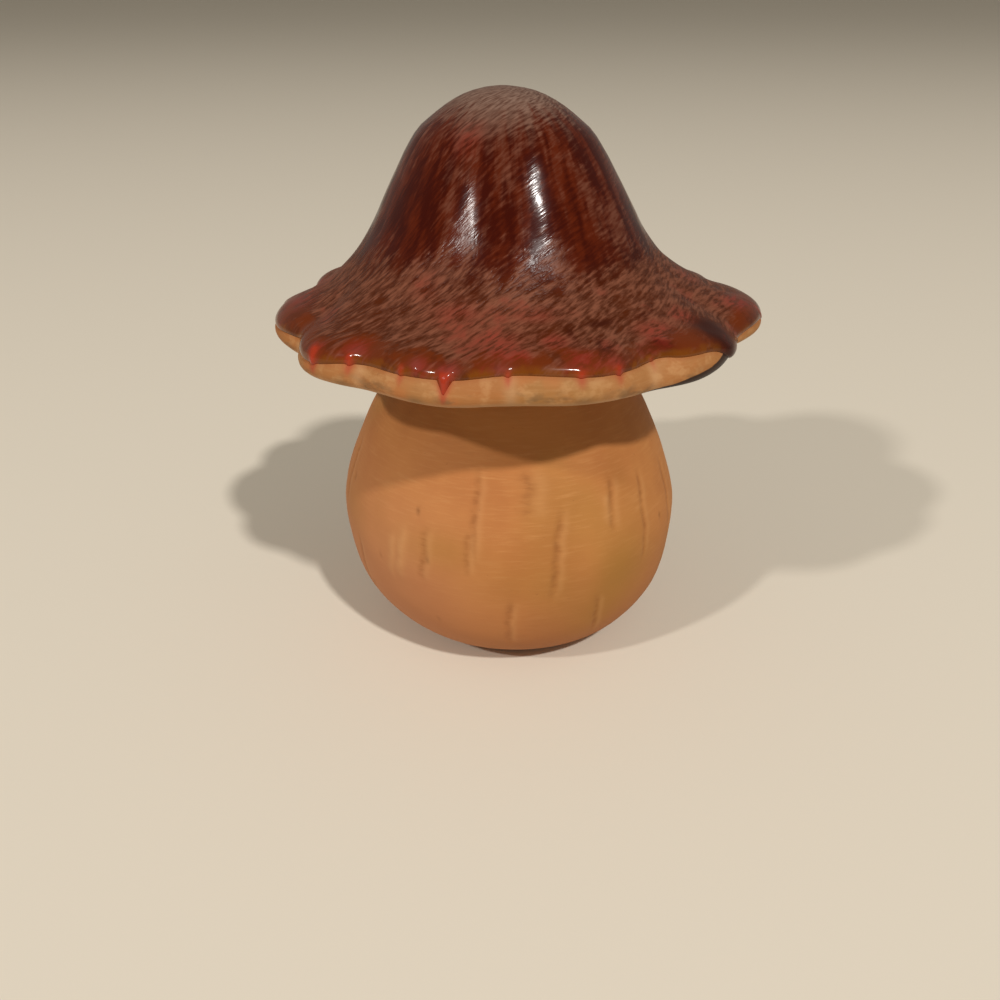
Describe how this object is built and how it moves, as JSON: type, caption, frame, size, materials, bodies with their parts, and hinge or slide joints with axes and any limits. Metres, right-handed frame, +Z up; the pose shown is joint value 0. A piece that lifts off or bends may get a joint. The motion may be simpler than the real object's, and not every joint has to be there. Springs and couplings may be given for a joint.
{
  "type": "ceramic mushroom ornament",
  "caption": "Handmade pottery mushroom: round hollow stem of bare clay with a glazed, petal-edged bell cap that lifts off its neck.",
  "frame": {"origin": "centre of the flat base that the stem stands on", "axes": "+Z up through the stem and the cap, -Y towards the side that the picture shows, +X towards the longest petal"},
  "size_m": [0.1229, 0.1184, 0.1397],
  "materials": {
    "bare_clay": "matte fired earthenware, unglazed",
    "glaze": "glossy mottled red-brown glaze with pale streaks"
  },
  "bodies": {
    "stem": {"stem": "bare_clay"},
    "cap": {"cap_body": "bare_clay", "cap_collar": "bare_clay", "cap_glaze": "glaze"}
  },
  "joints": [
    {"name": "cap_lift", "type": "slide", "parent": "stem", "child": "cap", "axis": [0, 0, 1], "range_m": [0, 0.045]}
  ]
}
